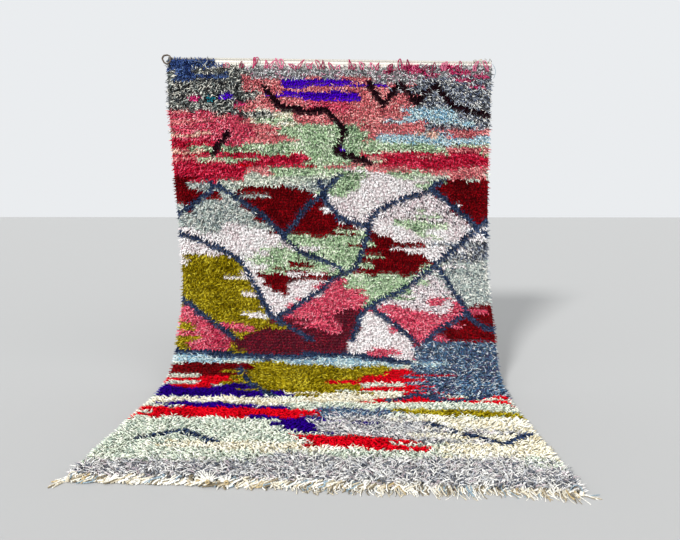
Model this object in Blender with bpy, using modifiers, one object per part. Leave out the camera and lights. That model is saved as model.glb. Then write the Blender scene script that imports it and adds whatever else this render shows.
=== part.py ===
"""A boucherouite rug: thick knotted pile on a woven ground, hung by its top edge.

It hangs straight down, sweeps forward near the floor and lies there for its last stretch. Metres, +Z up, the
pile faces -Y where it hangs and +Z where it lies. Every piece is first modelled lying flat as on the loom, face
up, with its top edge on y = 0 and its length running to -Y. hang() then lays it along the rug's own side profile.
"""

import math
from collections import namedtuple

import bmesh
import bpy
import numpy as np
from mathutils import Matrix, Vector, noise

# Driving dimensions
RUG_LENGTH = 2.078  # from the top edge to the last row of knots, along the rug
HEM = 0.034  # the flat-woven end above the first row of knots
HEM_THICK = 0.005
PILE_THICK = 0.030  # ground and pile together, where the pile is fullest
PILE_LUMP = 0.26  # how far the pile's height varies, as a share of it
LUMP_SIZE = 0.085
FINE_LUMPS = 2.3  # how many finer lumps there are to one coarse one, and how high those are beside it
FINE_LUMP_HEIGHT = 0.5
RIM_THICK = 0.62  # the pile's height at its rim, as a share of the fullest, and how far in it takes to be full
RIM_FADE = 0.06
END_THICK = 0.50
END_FADE = 0.10
GAP = 0.0003  # between two pieces that touch
BACK_Y = 0.520  # the hanging stretch's back

# How the rug falls, from its top edge on: how long each stretch is along the left and the right edge, and how far
# it turns forward. The right edge hangs a little lower, so it sweeps further out.
Stretch = namedtuple("Stretch", "name left right turn")
FALL = (
    Stretch("hanging", 0.874, 0.802, 0.0),
    Stretch("knee", 0.170, 0.170, 29.0),
    Stretch("sweep", 0.195, 0.250, 0.0),
    Stretch("toe", 0.170, 0.170, 46.0),
    Stretch("landing", 0.150, 0.150, 15.0),
    Stretch("lying", 0.700, 0.700, 0.0),
)
TRACE_STEP = 0.001

# The rug's outline: where its left and right edges are at a distance from the top edge.
Edge = namedtuple("Edge", "along left right")
OUTLINE = (
    Edge(0.00, -0.676, 0.650),
    Edge(0.18, -0.677, 0.646),
    Edge(0.38, -0.670, 0.646),
    Edge(0.58, -0.660, 0.651),
    Edge(0.76, -0.651, 0.657),
    Edge(0.94, -0.645, 0.662),
    Edge(1.12, -0.641, 0.667),
    Edge(1.28, -0.643, 0.668),
    Edge(1.44, -0.654, 0.666),
    Edge(1.62, -0.664, 0.663),
    Edge(1.80, -0.672, 0.664),
    Edge(1.96, -0.680, 0.671),
    Edge(2.18, -0.690, 0.680),
)

# The pile's own grid
ACROSS = 30
ALONG = 46
PILE_RISE = 0.010  # how far the first row of knots takes to reach its height

# Locks of pile that stand out past the rim
LOCK_PITCH = 0.044
LOCK_ROOT = 0.027
LOCK_TIP = 0.011
LOCK_REACH = (0.007, 0.019)  # sideways, least and most
LOCK_FALL = (0.010, 0.026)  # towards the rug's lower end
LOCK_THICK = 0.013
LOCK_BACKING = 0.006
Run = namedtuple("Run", "name start end lift")
LOCK_RUNS = (
    Run("hanging", 0.045, 0.800, 0.003),
    Run("sweep", 0.806, 1.500, 0.003),
    Run("lying", 1.506, 2.042, 0.0),
)

# Warp ends past the last row of knots, in two lengths of fringe
FRINGE_PITCH = 0.0105
FRINGE_BACKING = 0.008
FRINGE_THICK = 0.005
FRINGE_WIDTH = (0.0042, 0.0060)
FRINGE_REACH = (0.012, 0.036)
FRINGE_TAPER = 0.8
FRINGE_LEAN = 0.010  # how far the tips sway together, and over what distance
FRINGE_SWAY = 0.05
FRINGE_INSET = 0.023  # leaves room for the corner tassels

# Long loops of yarn that stand in front of the hem
LOOP_FROM = -0.430
LOOP_TO = 0.634
LOOP_COUNT = 30
LOOP_STRAND = 0.0040
LOOP_WIDTH = 0.013
LOOP_TOP = (-0.012, 0.008)  # above the top edge, least and most
LOOP_SHOULDER = 0.002
LOOP_BACKING = 0.006

# Knotted warp ends at the two lower corners, and the loop of cord at the upper left one
Tassel = namedtuple("Tassel", "name heading spread strands")
TASSELS = (
    Tassel("left", 194.0, 84.0, 4),
    Tassel("right", 346.0, 58.0, 3),
)
KNOT_RADIUS = 0.009
KNOT_THICK = 0.007
KNOT_CORNERS = 12
TASSEL_REACH = (0.030, 0.046)
TASSEL_STRAND = 0.0040
CORNER_LOOP_RADIUS = 0.017
CORNER_CORD = 0.0065
CORNER_LOOP_ASIDE = 0.004  # how far its middle is outside the left edge, and below the top edge
CORNER_LOOP_DOWN = 0.010

Finish = namedtuple("Finish", "colour roughness")
FINISHES = {
    "pile": Finish((0.42, 0.16, 0.17), 0.95),
    "warp": Finish((0.74, 0.68, 0.56), 0.90),
    "loop_yarn": Finish((0.50, 0.05, 0.16), 0.90),
    "corner_cord": Finish((0.20, 0.16, 0.12), 0.90),
}

rng = np.random.default_rng(7)


def clear_scene():
    for thing in list(bpy.data.objects):
        bpy.data.objects.remove(thing, do_unlink=True)


def traced(side):
    """One edge's fall, every TRACE_STEP: distance along it, reach from the wall, height and lean in radians."""
    lengths = [getattr(stretch, side) for stretch in FALL]
    ends = np.concatenate([[0.0], np.cumsum(lengths)])
    turned = np.concatenate([[0.0], np.cumsum([stretch.turn for stretch in FALL])])
    along = np.arange(0.0, ends[-1], TRACE_STEP)
    lean = np.radians(np.interp(along + TRACE_STEP / 2, ends, turned))
    reach = np.concatenate([[0.0], np.cumsum(np.sin(lean[:-1])) * TRACE_STEP])
    drop = np.concatenate([[0.0], np.cumsum(np.cos(lean[:-1])) * TRACE_STEP])
    height = drop[-1] - drop
    height[height < 1e-9] = 0.0
    return along, reach, height, lean


def edges_at(along):
    """The x of the rug's left and right edges at a distance from the top edge."""
    table = np.array(OUTLINE)
    left = np.interp(along, table[:, 0], table[:, 1])
    right = np.interp(along, table[:, 0], table[:, 2])
    return left, right


def hang(flat):
    """Lays points of the flat rug along its fall: left and right profiles, blended across the width."""
    x, along, above = flat[:, 0], -flat[:, 1], flat[:, 2]
    left, right = edges_at(along)
    share = np.clip((x - left) / (right - left), 0.0, 1.0)
    sides = []
    for side in ("left", "right"):
        at, reach, height, lean = traced(side)
        sides.append([np.interp(along, at, column) for column in (reach, height, lean)])
    reach, height, lean = (a + (b - a) * share for a, b in zip(*sides))
    height = height - np.minimum(along, 0.0)
    y = BACK_Y - reach - above * np.cos(lean)
    z = height + above * np.sin(lean)
    return np.stack([x, y, z], axis=1)


def hang_mesh(mesh):
    """Moves a flat piece's points to where they hang or lie."""
    flat = np.empty(len(mesh.vertices) * 3)
    mesh.vertices.foreach_get("co", flat)
    mesh.vertices.foreach_set("co", hang(flat.reshape(-1, 3)).ravel())
    mesh.update()


def finish(piece, name, look, smooth=True):
    """Names a piece, links it to the rug's collection and gives it its material."""
    piece.name = name
    piece.data.name = name
    if look not in bpy.data.materials:
        material = bpy.data.materials.new(look)
        material.use_nodes = True
        shader = material.node_tree.nodes["Principled BSDF"]
        shader.inputs["Base Color"].default_value = (*FINISHES[look].colour, 1.0)
        shader.inputs["Roughness"].default_value = FINISHES[look].roughness
        shader.inputs["Metallic"].default_value = 0.0
    piece.data.materials.append(bpy.data.materials[look])
    if smooth:
        piece.data.shade_smooth()
    for owner in list(piece.users_collection):
        owner.objects.unlink(piece)
    rug.objects.link(piece)
    return piece


def solid_of(source):
    """A plain mesh object made from what a curve or a modified object evaluates to; the source is removed."""
    bpy.context.view_layer.update()
    evaluated = source.evaluated_get(bpy.context.evaluated_depsgraph_get())
    mesh = bpy.data.meshes.new_from_object(evaluated)
    made = bpy.data.objects.new("solid", mesh)
    made.matrix_world = source.matrix_world
    bpy.context.scene.collection.objects.link(made)
    bpy.data.objects.remove(source, do_unlink=True)
    welded = bmesh.new()
    welded.from_mesh(mesh)
    bmesh.ops.remove_doubles(welded, verts=welded.verts, dist=1e-5)
    welded.to_mesh(mesh)
    welded.free()
    return made


def pile_height(x, along):
    """Height of the pile's top above the back: lumps over the face, lower at the rim, flat on the hem."""
    spot = Vector((x / LUMP_SIZE, along / LUMP_SIZE, 0.0))
    lump = noise.noise(spot) + FINE_LUMP_HEIGHT * noise.noise(spot * FINE_LUMPS)
    left, right = edges_at(along)
    from_side = min(x - left, right - x)
    from_end = RUG_LENGTH - along
    rounded = min(1.0, RIM_THICK + (1.0 - RIM_THICK) * from_side / RIM_FADE)
    tapered = min(1.0, END_THICK + (1.0 - END_THICK) * from_end / END_FADE)
    if along <= HEM:
        return HEM_THICK
    return PILE_THICK * rounded * tapered * (1.0 - PILE_LUMP / 2 + PILE_LUMP * lump)


def pile_rows():
    """Distances from the top edge at which the slab has a row of points: the hem's two, then even ones."""
    return np.concatenate([[0.0, HEM], np.linspace(HEM + PILE_RISE, RUG_LENGTH, ALONG - 1)])


def rug_field():
    """The rug itself, one lumpy slab: a grid whose Solidify thickness follows the pile's height."""
    bpy.ops.mesh.primitive_grid_add(x_subdivisions=ACROSS, y_subdivisions=ALONG, size=1.0)
    slab = bpy.context.object
    rows = pile_rows()
    heights = []
    for point in slab.data.vertices:
        row = round((0.5 - point.co.y) * ALONG)
        column_share = point.co.x + 0.5
        along = float(rows[row])
        left, right = edges_at(along)
        point.co.x = left + (right - left) * column_share
        point.co.y = -along
        heights.append(pile_height(point.co.x, along))
    tallest = max(heights)
    group = slab.vertex_groups.new(name="pile_height")
    for index, height in enumerate(heights):
        group.add([index], height / tallest, "REPLACE")
    thicken = slab.modifiers.new("pile", "SOLIDIFY")
    thicken.thickness = tallest
    thicken.offset = 1.0
    thicken.vertex_group = group.name
    field = solid_of(slab)
    hang_mesh(field.data)
    return finish(field, "rug_field", "pile")


def plate(outline, low, thick, holes=()):
    """A flat closed outline, with holes in it, as a plate from low to low + thick above the rug's back."""
    curve = bpy.data.curves.new("outline", "CURVE")
    curve.dimensions = "2D"
    curve.fill_mode = "BOTH"
    curve.extrude = thick / 2
    for corners in (outline, *holes):
        line = curve.splines.new("POLY")
        line.points.add(len(corners) - 1)
        for point, (x, y) in zip(line.points, corners):
            point.co = (x, y, 0.0, 1.0)
        line.use_cyclic_u = True
    source = bpy.data.objects.new("plate", curve)
    bpy.context.scene.collection.objects.link(source)
    made = solid_of(source)
    made.data.transform(Matrix.Translation((0.0, 0.0, low + thick / 2)))
    return made


def finger(root_a, root_b, tip, tip_width):
    """The outline of one tapered strand from its root's first corner over its blunt tip to the second."""
    across = (root_b - root_a) / np.linalg.norm(root_b - root_a)
    return [root_a, tip - across * tip_width / 2, tip + across * tip_width / 2, root_b]


def lock_strip(side, run):
    """A narrow strip along one edge of the rug with a row of locks that point outwards and down."""
    out = -1.0 if side == "left" else 1.0

    def edge(along, past):
        left, right = edges_at(along)
        return np.array([(left if side == "left" else right) + out * past, -along])

    count = round((run.end - run.start) / LOCK_PITCH)
    pitch = (run.end - run.start) / count
    beside = [along for along in pile_rows() if run.start < along < run.end]
    inner = [edge(along, GAP) for along in (run.start, *beside, run.end)]
    outer = []
    for number in range(count):
        first = run.start + (number + 0.5) * pitch - LOCK_ROOT / 2
        reach = rng.uniform(*LOCK_REACH)
        fall = rng.uniform(*LOCK_FALL)
        tip = edge(first + LOCK_ROOT / 2 + fall, LOCK_BACKING + reach)
        root_a = edge(first, LOCK_BACKING)
        root_b = edge(first + LOCK_ROOT, LOCK_BACKING)
        outer += finger(root_a, root_b, tip, LOCK_TIP)
    outline = inner[::-1] + [edge(run.start, LOCK_BACKING)] + outer + [edge(run.end, LOCK_BACKING)]
    strip = plate(outline, run.lift, LOCK_THICK)
    hang_mesh(strip.data)
    return finish(strip, f"locks_{side}_{run.name}", "pile", smooth=False)


def fringe(side):
    """Half of the warp ends: strands of uneven length, fused at their roots, that lie level on the floor."""
    left, right = edges_at(RUG_LENGTH)
    start = left + FRINGE_INSET if side == "left" else (left + right) / 2 + GAP
    stop = (left + right) / 2 - GAP if side == "left" else right - FRINGE_INSET
    root = -(RUG_LENGTH + GAP)
    edge = root - FRINGE_BACKING
    count = round((stop - start) / FRINGE_PITCH)
    pitch = (stop - start) / count
    lower = []
    for number in range(count):
        middle = start + (number + 0.5) * pitch
        width = rng.uniform(*FRINGE_WIDTH)
        sway = FRINGE_LEAN * noise.noise(Vector((middle / FRINGE_SWAY, 0.0, 0.0)))
        tip = np.array([middle + sway, edge - rng.uniform(*FRINGE_REACH)])
        root_a = np.array([middle - width / 2, edge])
        root_b = np.array([middle + width / 2, edge])
        lower += finger(root_a, root_b, tip, FRINGE_TAPER * width)
    corners = [np.array([stop, edge]), np.array([stop, root]), np.array([start, root]), np.array([start, edge])]
    strip = plate(lower + corners, 0.0, FRINGE_THICK)
    hang_mesh(strip.data)
    return finish(strip, f"fringe_{side}", "warp", smooth=False)


def hem_loops():
    """The long loops in front of the hem, each an arch on a strip that lies along the first row of knots."""
    base = -(HEM - GAP)
    shoulder = base + LOOP_BACKING
    half = LOOP_WIDTH / 2
    upper = []
    eyes = []
    for centre in np.linspace(LOOP_FROM, LOOP_TO, LOOP_COUNT):
        top = rng.uniform(*LOOP_TOP)
        crown = top - LOOP_STRAND
        upper += [(centre - half, shoulder), (centre - half + LOOP_SHOULDER, crown), (centre, top)]
        upper += [(centre + half - LOOP_SHOULDER, crown), (centre + half, shoulder)]
        inside = half - LOOP_STRAND
        foot = shoulder + LOOP_SHOULDER
        eyes.append([(centre - inside, foot), (centre, crown - LOOP_SHOULDER), (centre + inside, foot)])
    start = LOOP_FROM - LOOP_WIDTH
    stop = LOOP_TO + half
    outline = upper + [(stop, base), (start, base), (start, shoulder)]
    strip = plate(outline, HEM_THICK + GAP, LOOP_STRAND, eyes)
    hang_mesh(strip.data)
    return finish(strip, "hem_loops", "loop_yarn", smooth=False)


def corner_tassel(tassel):
    """A flattened knot of warp ends on the floor at a lower corner, its free ends fanned outwards."""
    left, right = edges_at(RUG_LENGTH)
    x = left + KNOT_RADIUS if tassel.name == "left" else right - KNOT_RADIUS
    centre = np.array([x, -(RUG_LENGTH + GAP + KNOT_RADIUS)])

    def spot(heading, radius):
        return centre + radius * np.array([math.cos(heading), math.sin(heading)])

    fan = np.radians(np.linspace(-0.5, 0.5, tassel.strands) * tassel.spread + tassel.heading)
    half = math.asin(TASSEL_STRAND / 2 / KNOT_RADIUS)
    outline = []
    for heading in fan:
        tip = spot(heading, rng.uniform(*TASSEL_REACH))
        outline += finger(spot(heading - half, KNOT_RADIUS), spot(heading + half, KNOT_RADIUS), tip, TASSEL_STRAND)
    behind = np.linspace(fan[-1] + half, fan[0] - half + math.tau, KNOT_CORNERS)[1:-1]
    outline += [spot(heading, KNOT_RADIUS) for heading in behind]
    knot = plate(outline, 0.0, KNOT_THICK)
    hang_mesh(knot.data)
    return finish(knot, f"corner_tassel_{tassel.name}", "warp", smooth=False)


def corner_loop():
    """The ring of dark cord sewn flat against the hem at the upper left corner."""
    left, _ = edges_at(0.0)
    bpy.ops.mesh.primitive_torus_add(
        major_radius=CORNER_LOOP_RADIUS,
        minor_radius=CORNER_CORD / 2,
        major_segments=20,
        minor_segments=8,
    )
    ring = bpy.context.object
    out_from_back = HEM_THICK + GAP + CORNER_CORD / 2
    ring.data.transform(Matrix.Translation((left - CORNER_LOOP_ASIDE, -CORNER_LOOP_DOWN, out_from_back)))
    hang_mesh(ring.data)
    return finish(ring, "corner_loop", "corner_cord")


clear_scene()
rug = bpy.data.collections.new("boucherouite_rug")
bpy.context.scene.collection.children.link(rug)
rug_field()
for run in LOCK_RUNS:
    lock_strip("left", run)
    lock_strip("right", run)
fringe("left")
fringe("right")
hem_loops()
for tassel in TASSELS:
    corner_tassel(tassel)
corner_loop()
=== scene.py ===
import math
from collections import namedtuple

import bpy
import numpy as np
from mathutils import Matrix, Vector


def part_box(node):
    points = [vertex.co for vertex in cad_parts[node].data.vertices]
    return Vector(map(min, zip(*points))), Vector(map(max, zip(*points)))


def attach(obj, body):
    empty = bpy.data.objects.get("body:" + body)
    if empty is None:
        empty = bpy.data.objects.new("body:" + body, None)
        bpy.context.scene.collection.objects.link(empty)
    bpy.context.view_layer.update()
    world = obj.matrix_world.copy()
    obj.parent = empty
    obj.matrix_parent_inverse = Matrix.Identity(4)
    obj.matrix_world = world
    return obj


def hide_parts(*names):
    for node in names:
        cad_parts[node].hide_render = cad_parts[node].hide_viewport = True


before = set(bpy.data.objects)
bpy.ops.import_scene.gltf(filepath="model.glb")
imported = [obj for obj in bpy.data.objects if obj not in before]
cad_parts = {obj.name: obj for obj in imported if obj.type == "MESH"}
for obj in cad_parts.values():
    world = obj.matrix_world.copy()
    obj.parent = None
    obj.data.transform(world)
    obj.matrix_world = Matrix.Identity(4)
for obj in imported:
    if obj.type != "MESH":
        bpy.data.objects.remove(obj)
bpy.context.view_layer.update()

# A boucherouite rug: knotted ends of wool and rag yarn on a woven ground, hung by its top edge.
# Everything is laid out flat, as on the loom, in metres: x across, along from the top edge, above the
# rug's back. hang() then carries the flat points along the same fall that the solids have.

rng = np.random.default_rng(11)

# The loom's measures, as in the solids
RUG_LENGTH = 2.078
HEM = 0.034
BACK_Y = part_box("rug_field")[1].y
Stretch = namedtuple("Stretch", "name left right turn")
FALL = (
    Stretch("hanging", 0.874, 0.802, 0.0),
    Stretch("knee", 0.170, 0.170, 29.0),
    Stretch("sweep", 0.195, 0.250, 0.0),
    Stretch("toe", 0.170, 0.170, 46.0),
    Stretch("landing", 0.150, 0.150, 15.0),
    Stretch("lying", 0.700, 0.700, 0.0),
)
TRACE_STEP = 0.001
Edge = namedtuple("Edge", "along left right")
OUTLINE = (
    Edge(0.00, -0.676, 0.650),
    Edge(0.18, -0.677, 0.646),
    Edge(0.38, -0.670, 0.646),
    Edge(0.58, -0.660, 0.651),
    Edge(0.76, -0.651, 0.657),
    Edge(0.94, -0.645, 0.662),
    Edge(1.12, -0.641, 0.667),
    Edge(1.28, -0.643, 0.668),
    Edge(1.44, -0.654, 0.666),
    Edge(1.62, -0.664, 0.663),
    Edge(1.80, -0.672, 0.664),
    Edge(1.96, -0.680, 0.671),
    Edge(2.18, -0.690, 0.680),
)

# Knots
COLUMNS = 116
ROWS = 174
GROUND = 0.0035
ROW_PITCH = (RUG_LENGTH - HEM) / ROWS
CM = 0.01


def fall(side):
    """One edge's fall, every TRACE_STEP: distance along it, then the reach (the running sum of the lean's
    sine), the height (what is left of the running sum of its cosine) and the lean, which grows evenly
    over a stretch."""
    ends = np.concatenate([[0.0], np.cumsum([getattr(stretch, side) for stretch in FALL])])
    turned = np.concatenate([[0.0], np.cumsum([stretch.turn for stretch in FALL])])
    along = np.arange(0.0, ends[-1], TRACE_STEP)
    lean = np.radians(np.interp(along + TRACE_STEP / 2, ends, turned))
    reach = np.concatenate([[0.0], np.cumsum(np.sin(lean[:-1])) * TRACE_STEP])
    drop = np.concatenate([[0.0], np.cumsum(np.cos(lean[:-1])) * TRACE_STEP])
    height = drop[-1] - drop
    height[height < 1e-9] = 0.0
    return along, reach, height, lean


FALLS = {side: fall(side) for side in ("left", "right")}


def edges_at(along):
    """The x of the rug's left and right edges at a distance from the top edge."""
    table = np.array(OUTLINE)
    return np.interp(along, table[:, 0], table[:, 1]), np.interp(along, table[:, 0], table[:, 2])


def hang(flat):
    """Flat points (x, -along, above) to where they hang: back + reach along the fall, then above times
    the normal."""
    x, along, above = flat[..., 0], -flat[..., 1], flat[..., 2]
    left, right = edges_at(along)
    share = np.clip((x - left) / (right - left), 0.0, 1.0)
    sides = []
    for side in ("left", "right"):
        at, *columns = FALLS[side]
        sides.append([np.interp(along, at, column) for column in columns])
    reach, height, lean = (a + (b - a) * share for a, b in zip(*sides))
    height = height - np.minimum(along, 0.0)
    return np.stack([x, BACK_Y - reach - above * np.cos(lean), height + above * np.sin(lean)], axis=-1)


# Noise: its octaves and the waves in each, how much finer and weaker the next one is, what brings the sum
# to about 1, and how much a wave's pitch varies
OCTAVES = 3
WAVES_EACH = 4
FINER = 1.8
WEAKER = 1.7
FULL_SWING = 1.6
PITCHES = (0.8, 1.25)
Ripple = namedtuple("Ripple", "strength size seed")


def waves(x, y, ripple):
    """Smooth noise as strong and as long as its ripple: a sum of sines in random directions."""
    draw = np.random.default_rng(ripple.seed)
    total = np.zeros(np.broadcast(x, y).shape)
    for octave in range(OCTAVES):
        for _ in range(WAVES_EACH):
            heading, phase = draw.uniform(0.0, math.tau, 2)
            pitch = ripple.size / (FINER ** octave) * draw.uniform(*PITCHES)
            wave = np.sin((x * math.cos(heading) + y * math.sin(heading)) * math.tau / pitch + phase)
            total += wave / (WEAKER ** octave) / WAVES_EACH
    return ripple.strength * (total * FULL_SWING / OCTAVES ** 0.5)


# How a yarn's cut ends look: how many a knot shows, how thick and long they are in metres, how far they
# lean from upright at root and tip in degrees, how much their heading, their curl and their place in the
# row vary, and where their joints are as shares of their length
Cut = namedtuple("Cut", "ends radius length root_lean tip_lean spread curl jitter joints")
PLUSH = Cut(4, 0.0020, 0.020, 20.0, 68.0, 30.0, 30.0, 0.24, (0.0, 0.62, 1.0))
SOFT = Cut(4, 0.0020, 0.025, 14.0, 74.0, 38.0, 44.0, 0.36, (0.0, 0.58, 1.0))
CURLY = Cut(4, 0.0019, 0.028, 14.0, 80.0, 46.0, 66.0, 0.40, (0.0, 0.52, 1.0))
LONG = Cut(4, 0.0015, 0.034, 12.0, 83.0, 62.0, 84.0, 0.42, (0.0, 0.5, 1.0))

# Yarns: a plain one fades between its colours, a mixed one (True) changes from one end to the next
Yarn = namedtuple("Yarn", "name cut mixed colours")
YARNS = (
    Yarn("ink_and_cream", CURLY, True, (
        (10, 10, 14), (236, 232, 218), (52, 58, 66), (206, 210, 200), (12, 12, 18),
        (24, 24, 30), (142, 152, 148), (92, 98, 100), (226, 224, 214), (20, 18, 26),
    )),
    Yarn("denim", SOFT, False, ((16, 22, 60), (44, 66, 126), (68, 94, 150), (104, 132, 178))),
    Yarn("navy", PLUSH, False, ((20, 28, 50), (40, 54, 86), (58, 76, 110), (84, 104, 138))),
    Yarn("violet", PLUSH, False, ((62, 0, 182), (94, 4, 220))),
    Yarn("dark_violet", PLUSH, False, ((28, 0, 104), (52, 0, 156))),
    Yarn("coral", SOFT, False, ((140, 48, 62), (214, 104, 112), (240, 144, 146), (255, 208, 200))),
    Yarn("silver", CURLY, True, (
        (184, 190, 198), (240, 236, 228), (88, 100, 126), (20, 22, 34), (128, 136, 156),
        (208, 212, 210), (38, 42, 58),
    )),
    Yarn("sage", SOFT, False, ((62, 88, 66), (172, 204, 158), (210, 232, 194), (255, 255, 240))),
    Yarn("peach", SOFT, False, ((176, 104, 92), (236, 184, 162), (250, 216, 196), (255, 240, 224))),
    Yarn("crimson", SOFT, False, ((110, 0, 20), (184, 12, 46), (216, 40, 74), (248, 92, 124))),
    Yarn("ox_blood", PLUSH, False, ((60, 0, 6), (112, 2, 10), (160, 10, 22))),
    Yarn("maroon", PLUSH, True, ((74, 2, 26), (104, 8, 38), (150, 20, 44), (82, 4, 30))),
    Yarn("shell", SOFT, False, ((200, 178, 182), (252, 242, 242), (255, 253, 252), (255, 255, 255))),
    Yarn("flecked_shell", SOFT, True, (
        (250, 236, 238), (255, 252, 252), (222, 202, 206), (255, 255, 255), (36, 26, 44),
        (252, 242, 242), (206, 182, 188), (255, 250, 250), (250, 240, 240),
    )),
    Yarn("olive", SOFT, False, ((76, 62, 0), (138, 120, 6), (168, 150, 20), (218, 202, 60))),
    Yarn("rose", SOFT, False, ((128, 8, 40), (214, 62, 96), (244, 104, 128), (255, 172, 186))),
    Yarn("red", PLUSH, False, ((186, 0, 16), (252, 12, 38))),
    Yarn("cream", SOFT, False, ((192, 176, 138), (246, 240, 214), (252, 248, 232), (255, 255, 250))),
    Yarn("mint_grey", SOFT, True, (
        (212, 222, 206), (238, 242, 226), (152, 168, 156), (254, 252, 240), (222, 230, 210),
    )),
    Yarn("ash_grey", CURLY, True, (
        (176, 190, 184), (232, 234, 226), (122, 136, 140), (246, 244, 236), (190, 204, 196),
        (78, 92, 104), (210, 218, 212),
    )),
    Yarn("black_brown", PLUSH, False, ((22, 6, 14), (48, 16, 28))),
    Yarn("sky", CURLY, True, ((176, 214, 226), (236, 244, 244), (104, 156, 190), (208, 230, 226))),
    Yarn("slate", CURLY, True, (
        (54, 94, 134), (130, 162, 184), (18, 26, 50), (212, 218, 220), (88, 80, 116),
        (78, 116, 150), (34, 50, 80),
    )),
    Yarn("lilac_grey", LONG, True, (
        (200, 202, 206), (248, 246, 240), (124, 126, 134), (230, 228, 224), (204, 188, 192),
        (66, 74, 88), (214, 212, 212), (250, 248, 242), (96, 102, 114), (242, 240, 236),
    )),
    Yarn("raspberry", SOFT, False, ((110, 10, 50), (176, 26, 84), (214, 60, 116), (240, 120, 160))),
    Yarn("dusk", SOFT, True, (
        (176, 180, 180), (232, 230, 230), (88, 88, 94), (196, 130, 152), (146, 156, 154),
        (118, 122, 124), (212, 212, 212),
    )),
    Yarn("hot_pink", PLUSH, False, ((226, 30, 120), (250, 80, 160))),
    Yarn("teal", PLUSH, False, ((8, 110, 130), (30, 160, 176))),
)
NUMBER = {yarn.name: number for number, yarn in enumerate(YARNS)}

# The chart, in centimetres from the rug's upper left corner: a across and s down. A patch has ragged,
# slanting sides.
CHART_SEED = 5
WIDE = 134.0
Patch = namedtuple("Patch", "yarn left right top bottom slant")
UPPER_PATCHES = (
    Patch("coral", 0, 134, 3, 46, 0),
    Patch("dusk", 20, 134, 3, 8, 0),
    Patch("ink_and_cream", -2, 31, 4, 22, -4),
    Patch("denim", -2, 20, 2, 8, 3),
    Patch("silver", 101, 136, 6, 27, 5),
    Patch("violet", 49, 78, 8, 16, 2),
    Patch("cream", 33, 55, 21, 25, 0),
    Patch("sky", 96, 122, 20, 24, 3),
    Patch("sage", 46, 84, 25, 47, -5),
    Patch("rose", -2, 30, 26, 34, 6),
    Patch("sky", 86, 136, 29, 34, 0),
    Patch("sage", 80, 128, 33, 37, 4),
    Patch("sage", 6, 42, 35, 42, 5),
    Patch("crimson", 88, 136, 37, 43, 3),
    Patch("crimson", 24, 56, 38, 43, 8),
    Patch("crimson", -2, 34, 42, 50, -4),
    Patch("rose", -2, 26, 22, 25, 3),
    Patch("peach", -2, 22, 30, 32, 2),
    Patch("crimson", 2, 24, 33, 35, -2),
    Patch("peach", -2, 16, 37, 39, 0),
    Patch("rose", 58, 74, 17, 20, 3),
    Patch("peach", 108, 130, 28, 29, 0),
)
LOWER_PATCHES = (
    Patch("sky", 0, 96, 125, 129, 0),
    Patch("slate", 98, 136, 118, 147, 3),
    Patch("ox_blood", -2, 30, 129, 138, 5),
    Patch("red", -2, 34, 136, 144, 4),
    Patch("olive", 28, 82, 129, 150, -4),
    Patch("red", 78, 102, 130, 145, 4),
    Patch("dark_violet", -2, 36, 142, 152, 5),
    Patch("cream", 50, 96, 147, 157, 5),
    Patch("red", 92, 136, 147, 153, 0),
    Patch("cream", -2, 52, 152, 158, 0),
    Patch("mint_grey", 62, 136, 155, 160, 0),
    Patch("dark_violet", 0, 44, 157, 162, -3),
    Patch("olive", 86, 136, 160, 165, 3),
    Patch("red", -2, 72, 161, 170, 4),
    Patch("slate", 62, 90, 161, 166, 0),
    Patch("dark_violet", 36, 76, 167, 179, 6),
    Patch("mint_grey", -2, 50, 170, 201, 4),
    Patch("lilac_grey", 66, 102, 166, 186, -4),
    Patch("cream", 98, 136, 165, 194, 3),
    Patch("red", 58, 94, 181, 190, 4),
    Patch("cream", 20, 62, 187, 192, 0),
    Patch("lilac_grey", 46, 136, 195, 202, 0),
    Patch("lilac_grey", -2, 136, 200, 210, 0),
)
# Stepped lines, two or three knots wide
STEPPED_HALF = 1.4
Line = namedtuple("Line", "yarn corners")
LINES = (
    Line("black_brown", ((40, 11), (47, 19), (58, 21), (66, 20), (74, 28), (70, 37), (84, 41))),
    Line("black_brown", ((84, 9), (90, 18), (97, 9), (104, 17), (111, 9), (119, 18), (133, 21))),
    Line("black_brown", ((24, 30), (17, 39))),
    Line("navy", ((100, 170), (112, 179), (122, 184), (131, 177))),
    Line("navy", ((10, 186), (22, 180), (34, 187))),
    Line("navy", ((28, 132), (34, 140), (46, 150))),
    Line("navy", ((88, 152), (100, 146), (112, 152), (126, 146))),
    Line("navy", ((0, 124), (40, 126), (72, 124), (98, 127))),
)
# The lozenge lattice between the upper and the lower patches: how wide and tall a lozenge is, from where
# to where its cells are, where its lines end, and the middle of its first tier
LOZENGE_WIDE = 43.0
LOZENGE_TALL = 37.0
LATTICE_TOP = 46.0
LATTICE_BOTTOM = 126.0
LINES_BOTTOM = 118.0
FIRST_TIER = 31.0
# Half a line's width, the share of the lines that is drawn, the size of the table of which are, and
# where in it they start
LINE_HALF = 1.25
LINES_DRAWN = 0.84
LINE_TABLE = (40, 40)
TABLE_START = 16
# The coarse net that bends the lattice: its crossings, how far apart they are, and how far each moves
NET = (12, 8)
KINK = 21.5
BEND_ACROSS = 9.0
BEND_DOWN = 7.0
BEND_TOP = 9.0
# In shares of a cell: how far its colours slip past its lines, how far the change between its halves
# wanders, and the half size of a middle lozenge. The wander is squeezed down the rug.
CELL_SLIP = Ripple(0.05, 16.0, 23)
CELL_WANDER = Ripple(0.12, 40.0, 24)
WANDER_SQUEEZE = 3.0
MIDDLE_HALF = 0.22
# Ragged edges: for how many knots an offset holds, and how deep it is
Rag = namedtuple("Rag", "hold depth")
SIDE_RAG = Rag(3, 1.8)
END_RAG = Rag(6, 0.6)
CELL_RAG = Rag(2, 2.2)
TOP_RAG = Rag(5, 0.8)
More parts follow.
